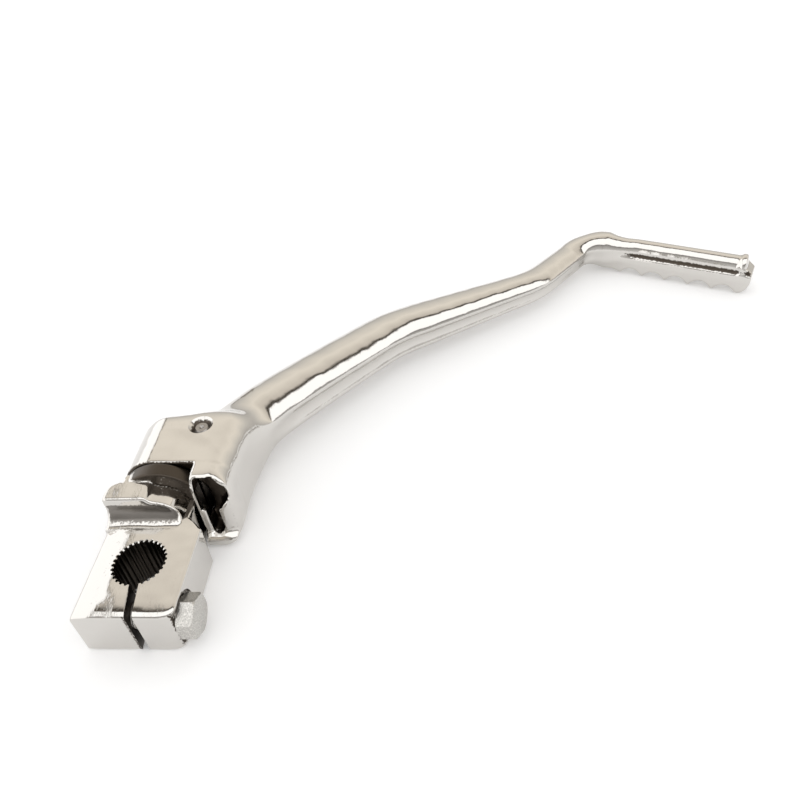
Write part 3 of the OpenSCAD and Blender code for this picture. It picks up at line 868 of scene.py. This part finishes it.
# Studio. A plain white floor and a soft white surround. The chrome alone mirrors a beige back, dark strips,
# a bright panel above the camera and a white card on the left. None of it is part of the lever.
FLOOR_HALF = 6
FLOOR_LIFT = 0.13
floor_mesh = bpy.data.meshes.new("floor")
floor_corners = [(-FLOOR_HALF, -FLOOR_HALF, 0), (FLOOR_HALF, -FLOOR_HALF, 0),
                 (FLOOR_HALF, FLOOR_HALF, 0), (-FLOOR_HALF, FLOOR_HALF, 0)]
floor_mesh.from_pydata(floor_corners, [], [(0, 1, 2, 3)])
floor = bpy.data.objects.new("floor", floor_mesh)
bpy.context.collection.objects.link(floor)
floor_paint = bpy.data.materials.new("floor_white")
floor_paint.use_nodes = True
paint = floor_paint.node_tree.nodes["Principled BSDF"]
paint.inputs["Roughness"].default_value = 0.9
paint.inputs["Specular IOR Level"].default_value = 0.1
paint.inputs["Base Color"].default_value = (0.97, 0.965, 0.96, 1)
# The camera and the chrome see this lift to white. No diffuse ray does, so the shadow stays
seen = floor_paint.node_tree.nodes.new("ShaderNodeLightPath")
lift = floor_paint.node_tree.nodes.new("ShaderNodeMath")
lift.operation = "MULTIPLY"
lift.inputs[1].default_value = FLOOR_LIFT
shown = seen.outputs["Is Camera Ray"]
for ray in ("Is Glossy Ray", "Is Transmission Ray"):
    either = floor_paint.node_tree.nodes.new("ShaderNodeMath")
    either.operation = "MAXIMUM"
    floor_paint.node_tree.links.new(shown, either.inputs[0])
    floor_paint.node_tree.links.new(seen.outputs[ray], either.inputs[1])
    shown = either.outputs[0]
floor_paint.node_tree.links.new(shown, lift.inputs[0])
floor_paint.node_tree.links.new(lift.outputs[0], paint.inputs["Emission Strength"])
paint.inputs["Emission Color"].default_value = (1, 0.995, 0.99, 1)
floor_mesh.materials.append(floor_paint)

surround = bpy.data.worlds.new("surround")
bpy.context.scene.world = surround
surround.use_nodes = True
sky = surround.node_tree
sky.nodes.clear()
direction = sky.nodes.new("ShaderNodeTexCoord")
parts = sky.nodes.new("ShaderNodeSeparateXYZ")
sky.links.new(direction.outputs["Generated"], parts.inputs[0])
sweep = sky.nodes.new("ShaderNodeMath")
sweep.operation = "ARCTAN2"
sky.links.new(parts.outputs["Z"], sweep.inputs[0])
sky.links.new(parts.outputs["Y"], sweep.inputs[1])
turn = sky.nodes.new("ShaderNodeMath")
turn.operation = "DIVIDE"
turn.inputs[1].default_value = math.pi
sky.links.new(sweep.outputs[0], turn.inputs[0])
# From the back horizon (0) over the top (0.5) to the horizon behind the camera (1)
mirrored = sky.nodes.new("ShaderNodeValToRGB")
MIRRORED = ((0.0, (0.60, 0.58, 0.55)), (0.10, (0.80, 0.77, 0.72)), (0.24, (1.12, 1.05, 0.94)),
            (0.38, (0.82, 0.76, 0.68)), (0.405, (0.07, 0.06, 0.05)), (0.43, (0.10, 0.08, 0.06)),
            (0.447, (1.65, 1.65, 1.65)), (0.73, (1.6, 1.6, 1.6)), (0.75, (0.14, 0.13, 0.12)),
            (0.79, (0.46, 0.45, 0.43)), (1.0, (0.82, 0.81, 0.80)))
while len(mirrored.color_ramp.elements) < len(MIRRORED):
    mirrored.color_ramp.elements.new(0.5)
for stop, (place, tone) in zip(mirrored.color_ramp.elements, MIRRORED):
    stop.position = place
    stop.color = tone + (1,)
sky.links.new(turn.outputs[0], mirrored.inputs[0])
# The white card on the left and its dark edge, by how far a reflection points to the left
CARD_COLOUR = (1.6, 1.6, 1.6, 1)
CARD_EDGE_COLOUR = (0.25, 0.22, 0.18, 1)
left_card = sky.nodes.new("ShaderNodeMapRange")
left_card.inputs["From Min"].default_value = -0.5
left_card.inputs["From Max"].default_value = -0.52
sky.links.new(parts.outputs["X"], left_card.inputs["Value"])
card_edge = sky.nodes.new("ShaderNodeMapRange")
card_edge.inputs["From Min"].default_value = -0.475
card_edge.inputs["From Max"].default_value = -0.485
sky.links.new(parts.outputs["X"], card_edge.inputs["Value"])
with_edge = sky.nodes.new("ShaderNodeMix")
with_edge.data_type = "RGBA"
with_edge.inputs[MIX_SECOND].default_value = CARD_EDGE_COLOUR
sky.links.new(card_edge.outputs["Result"], with_edge.inputs["Factor"])
sky.links.new(mirrored.outputs["Color"], with_edge.inputs[MIX_FIRST])
with_card = sky.nodes.new("ShaderNodeMix")
with_card.data_type = "RGBA"
with_card.inputs[MIX_SECOND].default_value = CARD_COLOUR
sky.links.new(left_card.outputs["Result"], with_card.inputs["Factor"])
sky.links.new(with_edge.outputs[MIX_RESULT], with_card.inputs[MIX_FIRST])
rays = sky.nodes.new("ShaderNodeLightPath")
choose = sky.nodes.new("ShaderNodeMix")
choose.data_type = "RGBA"
choose.inputs[MIX_FIRST].default_value = (1, 1, 1, 1)
sky.links.new(rays.outputs["Is Glossy Ray"], choose.inputs["Factor"])
sky.links.new(with_card.outputs[MIX_RESULT], choose.inputs[MIX_SECOND])
glow = sky.nodes.new("ShaderNodeBackground")
sky.links.new(choose.outputs[MIX_RESULT], glow.inputs["Color"])
world_out = sky.nodes.new("ShaderNodeOutputWorld")
sky.links.new(glow.outputs[0], world_out.inputs["Surface"])
bpy.context.scene.view_settings.view_transform = "Standard"

# Camera at the photograph's angle: looking down at 41 degrees, turned a little to the left, with some roll
CAMERA_PLACE = (0.10468, -0.12934, 0.19512)
CAMERA_HEADING = math.radians(8.87)
CAMERA_DOWN = math.radians(90 - 41.37)
CAMERA_ROLL = math.radians(-7.52)
camera_data = bpy.data.cameras.new("camera")
camera = bpy.data.objects.new("camera", camera_data)
bpy.context.collection.objects.link(camera)
camera_data.sensor_width = 36
camera_data.lens = 33.96
camera_data.clip_start = 0.01
aim = Matrix.Rotation(CAMERA_HEADING, 4, "Z") @ Matrix.Rotation(CAMERA_DOWN, 4, "X")
camera.matrix_world = Matrix.Translation(CAMERA_PLACE) @ aim @ Matrix.Rotation(CAMERA_ROLL, 4, "Z")
bpy.context.scene.camera = camera
